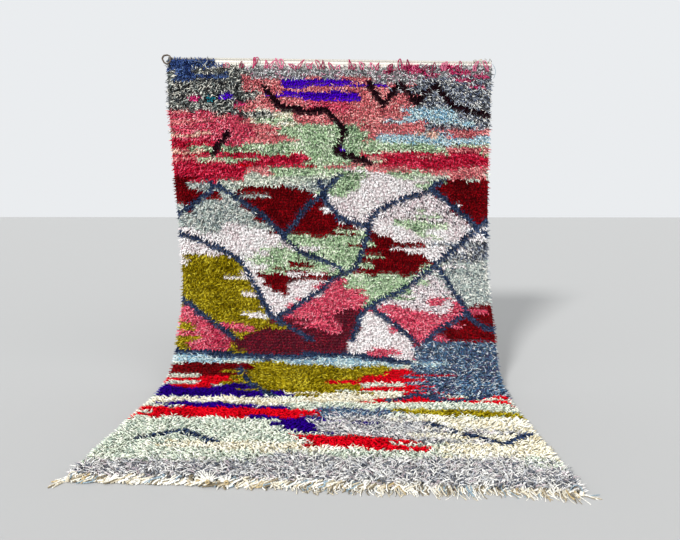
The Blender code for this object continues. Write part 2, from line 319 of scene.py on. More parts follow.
# Each cell's yarns, tier by tier: its upper half's, its lower half's, and a smaller lozenge's in its
# middle where it has one
Cell = namedtuple("Cell", "upper lower middle", defaults=(None,))
TIERS = (
    (Cell("rose", "crimson"), Cell("ash_grey", "ash_grey"), Cell("sage", "sage"), Cell("coral", "crimson")),
    (
        Cell("ox_blood", "ox_blood"), Cell("ash_grey", "ox_blood"),
        Cell("sage", "shell"), Cell("ox_blood", "ox_blood"),
    ),
    (
        Cell("ash_grey", "shell"), Cell("ox_blood", "sage"),
        Cell("flecked_shell", "shell", "sage"), Cell("ox_blood", "shell"),
    ),
    (
        Cell("shell", "olive"), Cell("sage", "shell", "ox_blood"),
        Cell("ox_blood", "sage"), Cell("silver", "ash_grey"),
    ),
    (
        Cell("olive", "olive"), Cell("rose", "maroon"),
        Cell("flecked_shell", "rose"), Cell("ox_blood", "ox_blood"),
    ),
    (
        Cell("rose", "rose", "olive"), Cell("maroon", "maroon"),
        Cell("shell", "rose"), Cell("ox_blood", "crimson"),
    ),
    (Cell("olive", "sky"), Cell("sage", "rose"), Cell("maroon", "sage"), Cell("ash_grey", "ox_blood")),
)
# Rows that run on past their patch: how many, how many knots they reach and how many rows they are high,
# each pair's upper end left out
STREAKS = 300
STREAK_REACH = (2, 13)
STREAK_HIGH = (1, 3)
# A few knots of another yarn: from which column, in which row and how many
Accent = namedtuple("Accent", "yarn column row knots")
ACCENTS = (
    Accent("hot_pink", 7, 10, 5),
    Accent("hot_pink", 8, 11, 3),
    Accent("teal", 14, 11, 2),
    Accent("teal", 14, 10, 3),
    Accent("violet", 18, 10, 6),
    Accent("violet", 19, 9, 4),
    Accent("hot_pink", 24, 12, 4),
    Accent("raspberry", 78, 1, 4),
    Accent("raspberry", 84, 0, 6),
    Accent("raspberry", 86, 1, 7),
    Accent("raspberry", 92, 2, 5),
    Accent("raspberry", 98, 0, 5),
    Accent("raspberry", 101, 1, 8),
    Accent("raspberry", 103, 3, 6),
    Accent("raspberry", 108, 5, 6),
    Accent("raspberry", 110, 2, 5),
    Accent("raspberry", 94, 5, 4),
    Accent("violet", 62, 27, 2),
    Accent("red", 24, 33, 5),
)


def ragged(count, rag, draw):
    """A random offset for each row that holds for a few rows at a time, as knots that start and stop
    do."""
    steps = draw.normal(0.0, rag.depth, count // rag.hold + 2)
    shift = draw.integers(0, rag.hold)
    return np.repeat(steps, rag.hold)[shift:shift + count]


def patch_mask(patch, a, s, draw):
    """True inside the patch: between its slanting sides and its wavy top and bottom, all ragged by a knot
    or so."""
    rows, columns = s.shape
    lean = patch.slant * (s - patch.top) / (patch.bottom - patch.top)
    left = patch.left + lean + ragged(rows, SIDE_RAG, draw)[:, None]
    right = patch.right + lean + ragged(rows, SIDE_RAG, draw)[:, None]
    top = patch.top + ragged(columns, END_RAG, draw)[None, :]
    bottom = patch.bottom + ragged(columns, END_RAG, draw)[None, :]
    return (a > left) & (a < right) & (s > top) & (s < bottom)


def line_mask(corners, a, s, half):
    """True within half of the line through the corners: the least distance to any of its runs."""
    nearest = np.full(a.shape, np.inf)
    for (a0, s0), (a1, s1) in zip(corners[:-1], corners[1:]):
        run = np.array([a1 - a0, s1 - s0])
        share = np.clip(((a - a0) * run[0] + (s - s0) * run[1]) / (run @ run), 0.0, 1.0)
        nearest = np.minimum(nearest, np.hypot(a - a0 - share * run[0], s - s0 - share * run[1]))
    return nearest < half


def kinked(a, s, most, draw):
    """Offsets of up to most that change evenly between the crossings of a coarse net, so straight lines
    turn there."""
    net = draw.uniform(-most, most, NET)
    row, column = s / KINK, a / KINK
    low_row, low_column = np.floor(row).astype(int), np.floor(column).astype(int)
    down, over = row - low_row, column - low_column
    upper = net[low_row, low_column] * (1 - over) + net[low_row, low_column + 1] * over
    lower = net[low_row + 1, low_column] * (1 - over) + net[low_row + 1, low_column + 1] * over
    return upper * (1 - down) + lower * down


def lattice(chart, a, s, draw):
    """Lozenges: with p = a/wide + s/tall and q = a/wide - s/tall, s counted from the first tier, whole p
    and q are the lines, and their whole parts say the cell."""
    rows, columns = a.shape
    bent_a = a + kinked(a, s, BEND_ACROSS, draw)
    bent_s = s + kinked(a, s, BEND_DOWN, draw)
    p = bent_a / LOZENGE_WIDE + (bent_s - FIRST_TIER) / LOZENGE_TALL
    q = bent_a / LOZENGE_WIDE - (bent_s - FIRST_TIER) / LOZENGE_TALL
    slip = ragged(rows, CELL_RAG, draw)[:, None] / LOZENGE_WIDE + waves(a, s, CELL_SLIP)
    p_cell = np.floor(p + slip)
    q_cell = np.floor(q + slip)
    p_share = p + slip - p_cell
    q_share = q + slip - q_cell
    tier = np.clip(p_cell - q_cell, 0, len(TIERS) - 1).astype(int)
    place = np.clip(np.floor((p_cell + q_cell + 1) / 2), 0, 3).astype(int)
    middle = np.maximum(abs(p_share - 0.5), abs(q_share - 0.5)) < MIDDLE_HALF
    lower = (p_share - q_share) / 2 + waves(a, s * WANDER_SQUEEZE, CELL_WANDER) > 0.0
    top = LATTICE_TOP + kinked(a, s, BEND_TOP, draw) + ragged(columns, TOP_RAG, draw)
    inside = (s > top) & (s < LATTICE_BOTTOM)
    for number, cells in enumerate(TIERS):
        for spot, yarns in enumerate(cells):
            cell = inside & (tier == number) & (place == spot)
            chart[cell] = NUMBER[yarns.upper]
            chart[cell & lower] = NUMBER[yarns.lower]
            if yarns.middle:
                chart[cell & middle] = NUMBER[yarns.middle]
    return inside, p, q


def streaked(chart, draw):
    """Rows of one yarn that run on past the edge of their patch for a few knots, a row or two high."""
    rows, columns = chart.shape
    for _ in range(STREAKS):
        row = draw.integers(1, rows - 2)
        edges = np.flatnonzero(np.diff(chart[row])) + 1
        if not len(edges):
            continue
        edge = draw.choice(edges)
        reach = draw.integers(*STREAK_REACH)
        high = draw.integers(*STREAK_HIGH)
        if draw.random() < 0.5:
            chart[row:row + high, edge:edge + reach] = chart[row, edge - 1]
        else:
            chart[row:row + high, max(edge - reach, 0):edge] = chart[row, edge]


def lattice_lines(chart, inside, p, q, draw):
    """The lozenges' outlines, some of them left out: where p or q is nearly whole, by how fast it
    changes."""
    drawn = draw.random(LINE_TABLE) < LINES_DRAWN
    for one, other in ((p, q), (q, p)):
        down, over = np.gradient(one, ROW_PITCH / CM, WIDE / COLUMNS)
        near = abs(one - np.round(one)) < LINE_HALF * np.hypot(down, over)
        kept = drawn[np.round(one).astype(int) + TABLE_START, np.floor(other).astype(int) + TABLE_START]
        chart[inside & near & kept] = NUMBER["navy"]


def charted():
    """The yarn of each knot, row by row: patches, the lattice's cells, patches again, streaks, the
    lattice's lines, accents, then the stepped lines."""
    draw = np.random.default_rng(CHART_SEED)
    s, a = np.meshgrid(
        (HEM + (np.arange(ROWS) + 0.5) * ROW_PITCH) / CM,
        (np.arange(COLUMNS) + 0.5) / COLUMNS * WIDE,
        indexing="ij",
    )
    chart = np.full(s.shape, NUMBER["mint_grey"])
    for patch in UPPER_PATCHES:
        chart[patch_mask(patch, a, s, draw)] = NUMBER[patch.yarn]
    inside, p, q = lattice(chart, a, s, draw)
    for patch in LOWER_PATCHES:
        chart[patch_mask(patch, a, s, draw)] = NUMBER[patch.yarn]
    streaked(chart, draw)
    lattice_lines(chart, inside & (s < LINES_BOTTOM), p, q, draw)
    for yarn, knot, row, knots in ACCENTS:
        chart[row, knot:knot + knots] = NUMBER[yarn]
    for line in LINES:
        chart[line_mask(line.corners, a, s, STEPPED_HALF)] = NUMBER[line.yarn]
    return chart


def mesh_of(name, points, faces, corner_uvs, **point_values):
    """A mesh object from whole arrays: points, lists of same-sided faces, a UV for each corner, point
    attributes."""
    mesh = bpy.data.meshes.new(name)
    mesh.vertices.add(len(points))
    mesh.vertices.foreach_set("co", points.astype(np.float32).ravel())
    sides = np.concatenate([np.full(len(some), some.shape[1]) for some in faces])
    corners = np.concatenate([some.ravel() for some in faces])
    mesh.loops.add(len(corners))
    mesh.loops.foreach_set("vertex_index", corners.astype(np.int32))
    mesh.polygons.add(len(sides))
    mesh.polygons.foreach_set("loop_start", np.concatenate([[0], np.cumsum(sides)[:-1]]).astype(np.int32))
    mesh.polygons.foreach_set("use_smooth", np.ones(len(sides), bool))
    corner_uv = np.concatenate([uv.reshape(-1, 2) for uv in corner_uvs])
    mesh.uv_layers.new(name="yarn").uv.foreach_set("vector", corner_uv.astype(np.float32).ravel())
    for label, values in point_values.items():
        kind, key = ("FLOAT_COLOR", "color") if values.ndim == 2 else ("FLOAT", "value")
        mesh.attributes.new(label, kind, "POINT").data.foreach_set(key, values.astype(np.float32).ravel())
    mesh.update(calc_edges=True)
    made = bpy.data.objects.new(name, mesh)
    bpy.context.scene.collection.objects.link(made)
    return made


# Axes for tubes, on the loom: out of the rug, and along it
OUT = (0.0, 0.0, 1.0)
LENGTHWAYS = (0.0, 1.0, 0.0)


def tubes(paths, radii, sides, across, lobes=0, depth=0.0, twist=0.0):
    """Many tubes at once. Each ring of a path (strands, rings, 3) is its point plus radius times cos and
    sin of the angle on two axes square to the path, the first nearest to across. Lobes turn along it by
    twist radians a ring."""
    count, rings, _ = paths.shape
    ahead = np.gradient(paths, axis=1)
    ahead /= np.linalg.norm(ahead, axis=2, keepdims=True)
    across = np.broadcast_to(across, (count, 3))[:, None, :] + np.zeros((count, rings, 3))
    across = across - (across * ahead).sum(2, keepdims=True) * ahead
    across /= np.linalg.norm(across, axis=2, keepdims=True)
    up = np.cross(ahead, across)
    angle = np.arange(sides) * math.tau / sides
    turn = np.arange(rings)[:, None] * twist
    swell = 1.0 + depth * np.cos(lobes * (angle[None, :] - turn))
    reach = radii[:, :, None] * swell[None]
    points = paths[:, :, None, :] + reach[..., None] * (
        np.cos(angle)[:, None] * across[:, :, None, :] + np.sin(angle)[:, None] * up[:, :, None, :]
    )
    ring = np.arange(rings - 1)[:, None] * sides
    side = np.arange(sides)[None, :]
    beside = (side + 1) % sides
    after = ring + sides
    one = np.stack([ring + side, ring + beside, after + beside, after + side], -1).reshape(-1, 4)
    start = (np.arange(count) * rings * sides)[:, None, None]
    quads = (one[None] + start).reshape(-1, 4)
    foot = (np.arange(sides)[::-1][None, None] + start).reshape(count, sides)
    tip = (np.arange(sides)[None, None] + (rings - 1) * sides + start).reshape(count, sides)
    lengths = np.linalg.norm(np.diff(paths, axis=1), axis=2)
    run = np.concatenate([np.zeros((count, 1)), np.cumsum(lengths, axis=1)], axis=1)
    u0 = np.broadcast_to(side / sides, (rings - 1, sides))
    u = np.stack([u0, u0 + 1 / sides, u0 + 1 / sides, u0], -1)
    v = np.stack([run[:, :-1], run[:, :-1], run[:, 1:], run[:, 1:]], -1)[:, :, None, :]
    uv = np.stack(np.broadcast_arrays(u[None], v), -1)
    middles = [np.stack([np.full(count, 0.5), run[:, at]], -1)[:, None] for at in (0, -1)]
    caps = [np.broadcast_to(middle, (count, sides, 2)) for middle in middles]
    return points.reshape(-1, 3), [quads, foot, tip], [uv, *caps], rings * sides


def spikes(paths, radii, sides, across):
    """Tubes that end in one point: the rings of tubes() up to the last joint, and then a fan of
    triangles."""
    count, rings, _ = paths.shape
    body, (quads, foot, tip), (uv, foot_uv, _), each = tubes(paths, radii, sides, across)
    kept = each - sides + 1
    body = body.reshape(count, rings, sides, 3)
    points = np.concatenate([body[:, :-1].reshape(count, -1, 3), paths[:, -1:]], axis=1)
    per_end = quads.reshape(count, rings - 1, sides, 4)
    renumbered = (np.arange(count) * (kept - each))[:, None, None]
    tube_faces = per_end[:, :-1].reshape(count, -1, 4) + renumbered
    last = per_end[:, -1] + renumbered
    apex = np.broadcast_to((np.arange(count) * kept + kept - 1)[:, None, None], (count, sides, 1))
    fan = np.concatenate([last[..., :2], apex], axis=2)
    foot = foot + renumbered[:, 0]
    uv = uv.reshape(count, rings - 1, sides, 4, 2)
    faces = [tube_faces.reshape(-1, 4), np.concatenate([fan.reshape(-1, 3), foot])]
    uvs = [uv[:, :-1].reshape(-1, 4, 2), np.concatenate([uv[:, -1, :, :3].reshape(-1, 3, 2), foot_uv])]
    return points.reshape(-1, 3), faces, uvs, kept


def linear(colour):
    """A colour as it shows on screen, 0 to 255, to the linear value that shaders take."""
    share = np.array(colour) / 255.0
    return np.where(share <= 0.04045, share / 12.92, ((share + 0.055) / 1.055) ** 2.4)


def group_of(name, takes, gives):
    """A shader node group with named sockets, its input and output nodes in place."""
    group = bpy.data.node_groups.new(name, "ShaderNodeTree")
    for label, kind, value in takes:
        socket = group.interface.new_socket(name=label, in_out="INPUT", socket_type=kind)
        socket.default_value = value
    for label, kind in gives:
        group.interface.new_socket(name=label, in_out="OUTPUT", socket_type=kind)
    return group, group.nodes.new("NodeGroupInput"), group.nodes.new("NodeGroupOutput")


def node(tree, kind, inputs=None, **settings):
    """A node with its settings, and with inputs that are values or another node's output sockets."""
    made = tree.nodes.new(kind)
    for key, value in settings.items():
        setattr(made, key, value)
    for key, value in (inputs or {}).items():
        if isinstance(value, bpy.types.NodeSocket):
            tree.links.new(value, made.inputs[key])
        else:
            made.inputs[key].default_value = value
    return made


# Half turns of ply to the metre and their depth beside the fibres', in the bump and in the painted ply
# shade, how fine the noise of the fibres and of the weave is, the weave's depth beside a knot's humps, and
# how high those are in metres
PLY_TURNS = 260.0
PLY_DEPTH = 0.35
FIBRE_SCALE = 420.0
GRAIN_SCALE = 900.0
GRAIN_DEPTH = 0.8
KNOT_BUMP = 0.0012


def calc(tree, operation, *values):
    """The output of a Math node over values that are numbers or sockets."""
    return node(tree, "ShaderNodeMath", dict(enumerate(values)), operation=operation).outputs[0]


def new_material(name):
    """A new material, its node tree and its shader node."""
    material = bpy.data.materials.new(name)
    material.use_nodes = True
    return material, material.node_tree, material.node_tree.nodes["Principled BSDF"]


def wool_group():
    """Wool: fine noise for its fibres and a slanting wave along it for its ply, which are the height of its
    bump and lighten and darken its colour together: the fibres' tone, and painted shade and highlight on
    the ply's twist."""
    group, takes, gives = group_of(
        "wool",
        (
            ("Colour", "NodeSocketColor", (0.5, 0.5, 0.5, 1.0)),
            ("Fibre and ply shade", "NodeSocketFloat", 0.35),
            ("Ply", "NodeSocketFloat", 4.0),
        ),
        (("Colour", "NodeSocketColor"), ("Roughness", "NodeSocketFloat"), ("Height", "NodeSocketFloat")),
    )
    where = node(group, "ShaderNodeUVMap", uv_map="yarn")
    place = node(group, "ShaderNodeTexCoord")
    apart = node(group, "ShaderNodeSeparateXYZ", {0: where.outputs[0]})
    run = calc(group, "MULTIPLY", apart.outputs["Y"], PLY_TURNS)
    slant = calc(group, "MULTIPLY_ADD", apart.outputs["X"], takes.outputs["Ply"], run)
    ply = calc(group, "SINE", calc(group, "MULTIPLY", slant, math.pi))
    fibre = node(
        group,
        "ShaderNodeTexNoise",
        {"Vector": place.outputs["Object"], "Scale": FIBRE_SCALE, "Detail": 3.0},
    )
    both = calc(group, "MULTIPLY_ADD", ply, PLY_DEPTH, fibre.outputs[0])
    # Painted shade and highlight: the ply's wave darkens the colour in the twist's grooves and lightens it
    # on the ridges, along with the fibres' own tone
    shade = node(
        group,
        "ShaderNodeMapRange",
        {"Value": both, "From Min": 0.1, "From Max": 0.9, "To Min": 0.72, "To Max": 1.22},
    )
    fibre_and_ply_mix = {0: takes.outputs["Fibre and ply shade"], 2: 1.0, 3: shade.outputs[0]}
    level = node(group, "ShaderNodeMix", fibre_and_ply_mix, data_type="FLOAT")
    tinted = {0: takes.outputs["Colour"], 3: level.outputs[0]}
    tint = node(group, "ShaderNodeVectorMath", tinted, operation="SCALE")
    rough = node(
        group,
        "ShaderNodeMapRange",
        {"Value": fibre.outputs[0], "From Min": 0.3, "From Max": 0.7, "To Min": 0.82, "To Max": 1.0},
    )
    group.links.new(tint.outputs[0], gives.inputs["Colour"])
    group.links.new(rough.outputs[0], gives.inputs["Roughness"])
    group.links.new(both, gives.inputs["Height"])
    return group


def cloth_shader(material, colour, fibre_and_ply_shade=0.6, ply=4.0, bump=0.0006, sheen=0.1, gloss=0.2):
    """Finishes a material: the wool group round the given colour socket, a bump, and a soft sheen."""
    tree = material.node_tree
    shader = tree.nodes["Principled BSDF"]
    wool = node(tree, "ShaderNodeGroup", node_tree=bpy.data.node_groups["wool"])
    tree.links.new(colour, wool.inputs["Colour"])
    wool.inputs["Fibre and ply shade"].default_value = fibre_and_ply_shade
    wool.inputs["Ply"].default_value = ply
    bumped = {"Distance": bump, "Strength": 0.7, "Height": wool.outputs["Height"]}
    dent = node(tree, "ShaderNodeBump", bumped)
    tree.links.new(wool.outputs["Colour"], shader.inputs["Base Color"])
    tree.links.new(wool.outputs["Roughness"], shader.inputs["Roughness"])
    tree.links.new(dent.outputs[0], shader.inputs["Normal"])
    shader.inputs["Sheen Weight"].default_value = sheen
    shader.inputs["Sheen Roughness"].default_value = 0.5
    shader.inputs["Specular IOR Level"].default_value = gloss


def toned_material(name, mixed, colours):
    """A material and its colour: a ramp that each end's own tone picks from, in steps for mixed
    colours."""
    material, tree, shader = new_material(name)
    tone = node(tree, "ShaderNodeAttribute", attribute_name="tone")
    ramp = node(tree, "ShaderNodeValToRGB", {0: tone.outputs["Fac"]})
    ramp.color_ramp.interpolation = "CONSTANT" if mixed else "LINEAR"
    stops = len(colours)
    places = np.arange(stops) / stops if mixed else np.linspace(0.0, 1.0, stops)
    elements = ramp.color_ramp.elements
    while len(elements) < stops:
        elements.new(1.0)
    for element, place, colour in zip(elements, places, colours):
        element.position = place
        element.color = (*linear(colour), 1.0)
    mean = np.mean([linear(colour) for colour in colours], axis=0)
    shader.inputs["Base Color"].default_value = (*mean, 1.0)
    return material, ramp.outputs[0]


def yarn_material(yarn, sheen):
    """A pile yarn: its colours under the wool."""
    material, colour = toned_material("yarn_" + yarn.name, yarn.mixed, yarn.colours)
    cloth_shader(material, colour, sheen=sheen, gloss=sheen + 0.03)
    return material


def cord_material(name, mixed, colours):
    """An undyed or dyed cord: its colours under the wool, with a coarser ply."""
    material, colour = toned_material(name, mixed, colours)
    cloth_shader(material, colour, fibre_and_ply_shade=0.8, ply=2.0, bump=0.0008)
    return material


# The pile's matted lower part: how high it is above the back, how far in from the rim that takes, how far
# it swells out past the ground's edge, and its lumps
BED = 0.011
BED_EDGE = 0.016
RIM_BULGE = 0.005
LUMP = Ripple(0.30, 0.16, 61)
SMALL_LUMP = Ripple(0.22, 0.06, 62)
# Cut ends about their style: degrees of heading, shares of length and thickness, degrees of lean, then
# tone, how deep a root is in the bed, and the least share of the width from an edge
SWIRL = Ripple(52.0, 0.26, 31)
LENGTHS = (0.78, 1.22)
UNEVEN_LENGTH = Ripple(0.14, 0.17, 32)
THICKNESSES = (0.8, 1.2)
ROOT_TO_TIP = (0.85, 1.1)
ROOT_LEANS = 9.0
TIP_LEANS = 12.0
TONES = (0.5, 0.28)
MOST_TONE = 0.999
CLOUDS = Ripple(0.18, 0.30, 33)
BANDS = Ripple(0.24, 0.035, 34)
BAND_STRETCH = 0.2
ROOT_DEPTH = 0.002
EDGE_SHARE = 0.002
# Ends within RIM of an edge turn and lean outward, in degrees, with less of their own heading and curl.
# They are shorter there, and at the edge itself no longer than RIM_LENGTH.
RIM = 0.020
RIM_TURN = 54.0
RIM_STEADY = 0.4
RIM_LENGTH = 0.019
RIM_SHORTER = 0.10
RIM_LEAN = 30.0
RIM_UNCURLED = 0.5
# Ends on the floor spread and lean more, from where the rug turns to lie; the last rows' ends are longer
FLOOR_FROM = 1.30
FLOOR_OVER = 0.25
FLOOR_SPREAD = 0.20
FLOOR_LEAN = 6.0
LAST_FROM = 1.94
LAST_OVER = 0.10
LAST_LONGER = 0.10
# The first rows: how many move up over the hem and how far, the share of ends that points up, less with
# each row, and these ends' spread in degrees, share of length and how many degrees steeper they are
TOP_ROWS = 4
OVER_HEM = 0.007
UPWARD_SHARE = 0.75
UPWARD_FEWER = 0.28
UPWARD_SPREAD = 22.0
UPWARD_SHORTER = 0.7
UPWARD_STEEPER = 18.0
# From which knot to which the pile goes on over the hem, and its rows there
HEM_KNOTS = ((0, 17, 2), (83, COLUMNS, 1))


def bed_height(x, along):
    """Top of the matted lower part: lumpy, lower at the rim, and only the ground on the hem."""
    left, right = edges_at(along)
    inside = np.minimum(np.minimum(x - left, right - x), np.minimum(along - HEM, RUG_LENGTH - along))
    fade = np.clip(inside / BED_EDGE, 0.0, 1.0)
    lump = 1.0 + waves(x, along, LUMP) + waves(x, along, SMALL_LUMP)
    return GROUND + (BED * lump - GROUND) * np.sqrt(fade)


def cut_ends(cut, row, column, end):
    """The paths, radii, flat sides and tones of a style's ends. An end starts in its knot, rises and leans
    over along an arc: a run from joint to joint, turned from the upright by the lean and about it by the
    heading."""
    count = len(row)
    along = HEM + (row + 0.5 + rng.uniform(-cut.jitter, cut.jitter, count)) * ROW_PITCH
    left, right = edges_at(along)
    spread = (end + 0.5) / cut.ends - 0.5 + rng.uniform(-0.5, 0.5, count) / cut.ends
    share = np.clip((column + 0.5 + spread) / COLUMNS, EDGE_SHARE, 1.0 - EDGE_SHARE)
    x = left + share * (right - left)
    along = along - OVER_HEM * np.clip(1.0 - row / TOP_ROWS, 0.0, 1.0)
    on_floor = np.clip((along - FLOOR_FROM) / FLOOR_OVER, 0.0, 1.0)
    last_rows = np.clip((along - LAST_FROM) / LAST_OVER, 0.0, 1.0)
    heading = rng.normal(0.0, cut.spread * (1.0 + FLOOR_SPREAD * on_floor), count) + waves(x, along, SWIRL)
    outward = np.clip(1.0 - np.minimum(x - left, right - x) / RIM, 0.0, 1.0)
    turned_out = outward * np.sign(x - (left + right) / 2) * RIM_TURN
    heading = heading * (1.0 - RIM_STEADY * outward) + turned_out
    x = x + outward ** 2 * RIM_BULGE * np.sign(share - 0.5)
    upward = rng.random(count) < UPWARD_SHARE - UPWARD_FEWER * np.abs(row)
    heading[upward] = 180.0 + rng.normal(0.0, UPWARD_SPREAD, upward.sum())
    heading = np.radians(heading)
    length = cut.length * rng.uniform(*LENGTHS, count)
    length = length * (1.0 + LAST_LONGER * last_rows) * (1.0 - RIM_SHORTER * outward)
    length = length * (1.0 - outward) + np.minimum(length, RIM_LENGTH) * outward
    length *= 1.0 + waves(x, along, UNEVEN_LENGTH)
    length[upward] *= UPWARD_SHORTER
    first = np.radians(cut.root_lean + rng.normal(0.0, ROOT_LEANS, count) + RIM_LEAN * outward)
    last = np.radians(cut.tip_lean + rng.normal(0.0, TIP_LEANS, count) + FLOOR_LEAN * on_floor)
    last[upward] -= math.radians(UPWARD_STEEPER)
    curl = np.radians(rng.normal(0.0, cut.curl, count)) * (1.0 - RIM_UNCURLED * outward)
    joints = np.array(cut.joints)
    middle = (joints[1:] + joints[:-1]) / 2
    lean = first[:, None] + (last - first)[:, None] * middle
    turn = heading[:, None] + curl[:, None] * middle
    step = length[:, None] * np.diff(joints)
    runs = np.stack([np.sin(lean) * np.sin(turn), -np.sin(lean) * np.cos(turn), np.cos(lean)], -1)
    runs *= step[..., None]
    root = np.stack([x, -along, bed_height(x, along) - ROOT_DEPTH], -1)
    paths = np.concatenate([root[:, None], root[:, None] + np.cumsum(runs, axis=1)], axis=1)
    across = np.stack([np.cos(heading), np.sin(heading), np.zeros(count)], -1)
    radius = (cut.radius * rng.uniform(*THICKNESSES, count))[:, None]
    radii = radius * np.linspace(*ROOT_TO_TIP, len(joints))
    shade = waves(x, along, CLOUDS) + waves(x * BAND_STRETCH, along, BANDS)
    tone = np.clip(rng.normal(*TONES, count) + shade, 0.0, MOST_TONE)
    return paths, radii, across, tone


END_SIDES = 3
MIXED_SHEEN = 0.06


def knotted_pile(chart):
    """All cut ends, a piece for each yarn."""
    pieces = []
    row, column = np.indices(chart.shape)
    for number, yarn in enumerate(YARNS):
        cut = yarn.cut
        mine = chart == number
        rows, columns = row[mine], column[mine]
        for start, stop, extra in HEM_KNOTS:
            again = (rows < extra) & (columns >= start) & (columns < stop)
            rows = np.concatenate([rows, rows[again] - extra])
            columns = np.concatenate([columns, columns[again]])
        end = np.tile(np.arange(cut.ends), len(rows))
        rows, columns = np.repeat(rows, cut.ends), np.repeat(columns, cut.ends)
        paths, radii, across, tone = cut_ends(cut, rows, columns, end)
        pick = rng.random(len(tone)) * MOST_TONE if yarn.mixed else tone
        points, faces, uvs, each = spikes(paths, radii, END_SIDES, across)
        piece = mesh_of("pile_" + yarn.name, hang(points), faces, uvs, tone=np.repeat(pick, each))
        piece.data.materials.append(yarn_material(yarn, MIXED_SHEEN if yarn.mixed else 0.0))
        pieces.append(piece)
    return pieces


def finish_piece(piece, slot, *nodes):
    """What every piece of the rug says: it rides on the rug's one body and stands for nodes. The slot is
    not used."""
    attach(piece, "root")
    if nodes:
        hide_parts(*nodes)


# The ground: rows of points on the hem, the back's relief, the hem's and the weft's colours, and the
# painted shade that makes the lower pile darker than its yarn, in the rug and over the hem
HEM_ROWS = 3
RELIEF = 0.0005
BACK_RIPPLE = Ripple(0.0004, 0.05, 41)
HEM_CREAM = (222, 218, 206)
WEFT_BROWN = (128, 104, 84)
PAINTED_LOWER_PILE_SHADE = (0.6, 0.95)
PAINTED_OVER_HEM_SHADE = 0.7


def ground_weave(chart):
    """The woven ground and hem, one closed sheet: a grid of knots on the back and one on the front, GROUND
    apart on the hem and the bed's height elsewhere, joined by a wall round the rim. Each point holds the
    colour of the yarn knotted there darkened by painted shade, more so on the front over the hem, and cream
    on the hem."""
    along = np.concatenate([np.linspace(0.0, HEM, HEM_ROWS + 1), HEM + np.arange(1, ROWS + 1) * ROW_PITCH])
    share = np.arange(COLUMNS + 1) / COLUMNS
    s, u = np.meshgrid(along, share, indexing="ij")
    left, right = edges_at(s)
    x = left + (right - left) * u
    rows, columns = s.shape
    relief = RELIEF + waves(x, s, BACK_RIPPLE)
    back = np.stack([x, -s, np.clip(relief, 0.0, None)], -1).reshape(-1, 3)
    outward = np.where(u == 0.0, -1.0, np.where(u == 1.0, 1.0, 0.0))
    swell = RIM_BULGE * np.clip((s - HEM) / BED_EDGE, 0.0, 1.0) * outward
    front = np.stack([x + swell, -s, np.maximum(bed_height(x, s), GROUND)], -1).reshape(-1, 3)
    index = np.arange(rows * columns).reshape(rows, columns)
    cell = np.stack([index[:-1, :-1], index[:-1, 1:], index[1:, 1:], index[1:, :-1]], -1).reshape(-1, 4)
    total = rows * columns
    rim = np.concatenate([index[0, :-1], index[:-1, -1], index[-1, :0:-1], index[:0:-1, 0]])
    after = np.roll(rim, -1)
    wall = np.stack([rim, after, after + total, rim + total], -1)
    faces = np.concatenate([cell, cell[:, ::-1] + total, wall])
    grid_uv = np.stack([u * COLUMNS, (s - HEM) / ROW_PITCH], -1).reshape(-1, 2)
    grid_uv = np.concatenate([grid_uv, grid_uv])
    dyes = np.array([np.mean([linear(colour) for colour in yarn.colours], axis=0) for yarn in YARNS])
    row = np.clip(np.arange(rows) - HEM_ROWS, 0, ROWS - 1)
    knots = chart[row][:, np.clip(np.arange(columns), 0, COLUMNS - 1)]
    # Painted shade: the lower pile's points, and the back's with them, take their yarn's colour darkened by
    # a random share
    colour = dyes[knots] * rng.uniform(*PAINTED_LOWER_PILE_SHADE, (rows, columns, 1))
    colour[:HEM_ROWS + 1] = linear(HEM_CREAM)
    behind = colour.copy()
    for start, stop, extra in HEM_KNOTS:
        rows_over = slice(HEM_ROWS - extra, HEM_ROWS + 1)
        # Painted shade on the front where the pile goes on over the hem
        colour[rows_over, start:stop] = dyes[knots[rows_over, start:stop]] * PAINTED_OVER_HEM_SHADE
    colour = np.concatenate([behind, colour])
    colour = np.concatenate([colour, np.ones((2 * rows, columns, 1))], -1).reshape(-1, 4)
    points = hang(np.concatenate([back, front]))
    sheet = mesh_of("ground_weave", points, [faces], [grid_uv[faces]], knot=colour)
    sheet.data.materials.append(ground_material())
    sheet.data.materials.append(bed_material())
    in_front = np.zeros(len(faces), np.int32)
    in_front[len(cell) + HEM_ROWS * (columns - 1):2 * len(cell)] = 1
    sheet.data.polygons.foreach_set("material_index", in_front)
    finish_piece(sheet, "ground", "rug_field")
    return sheet


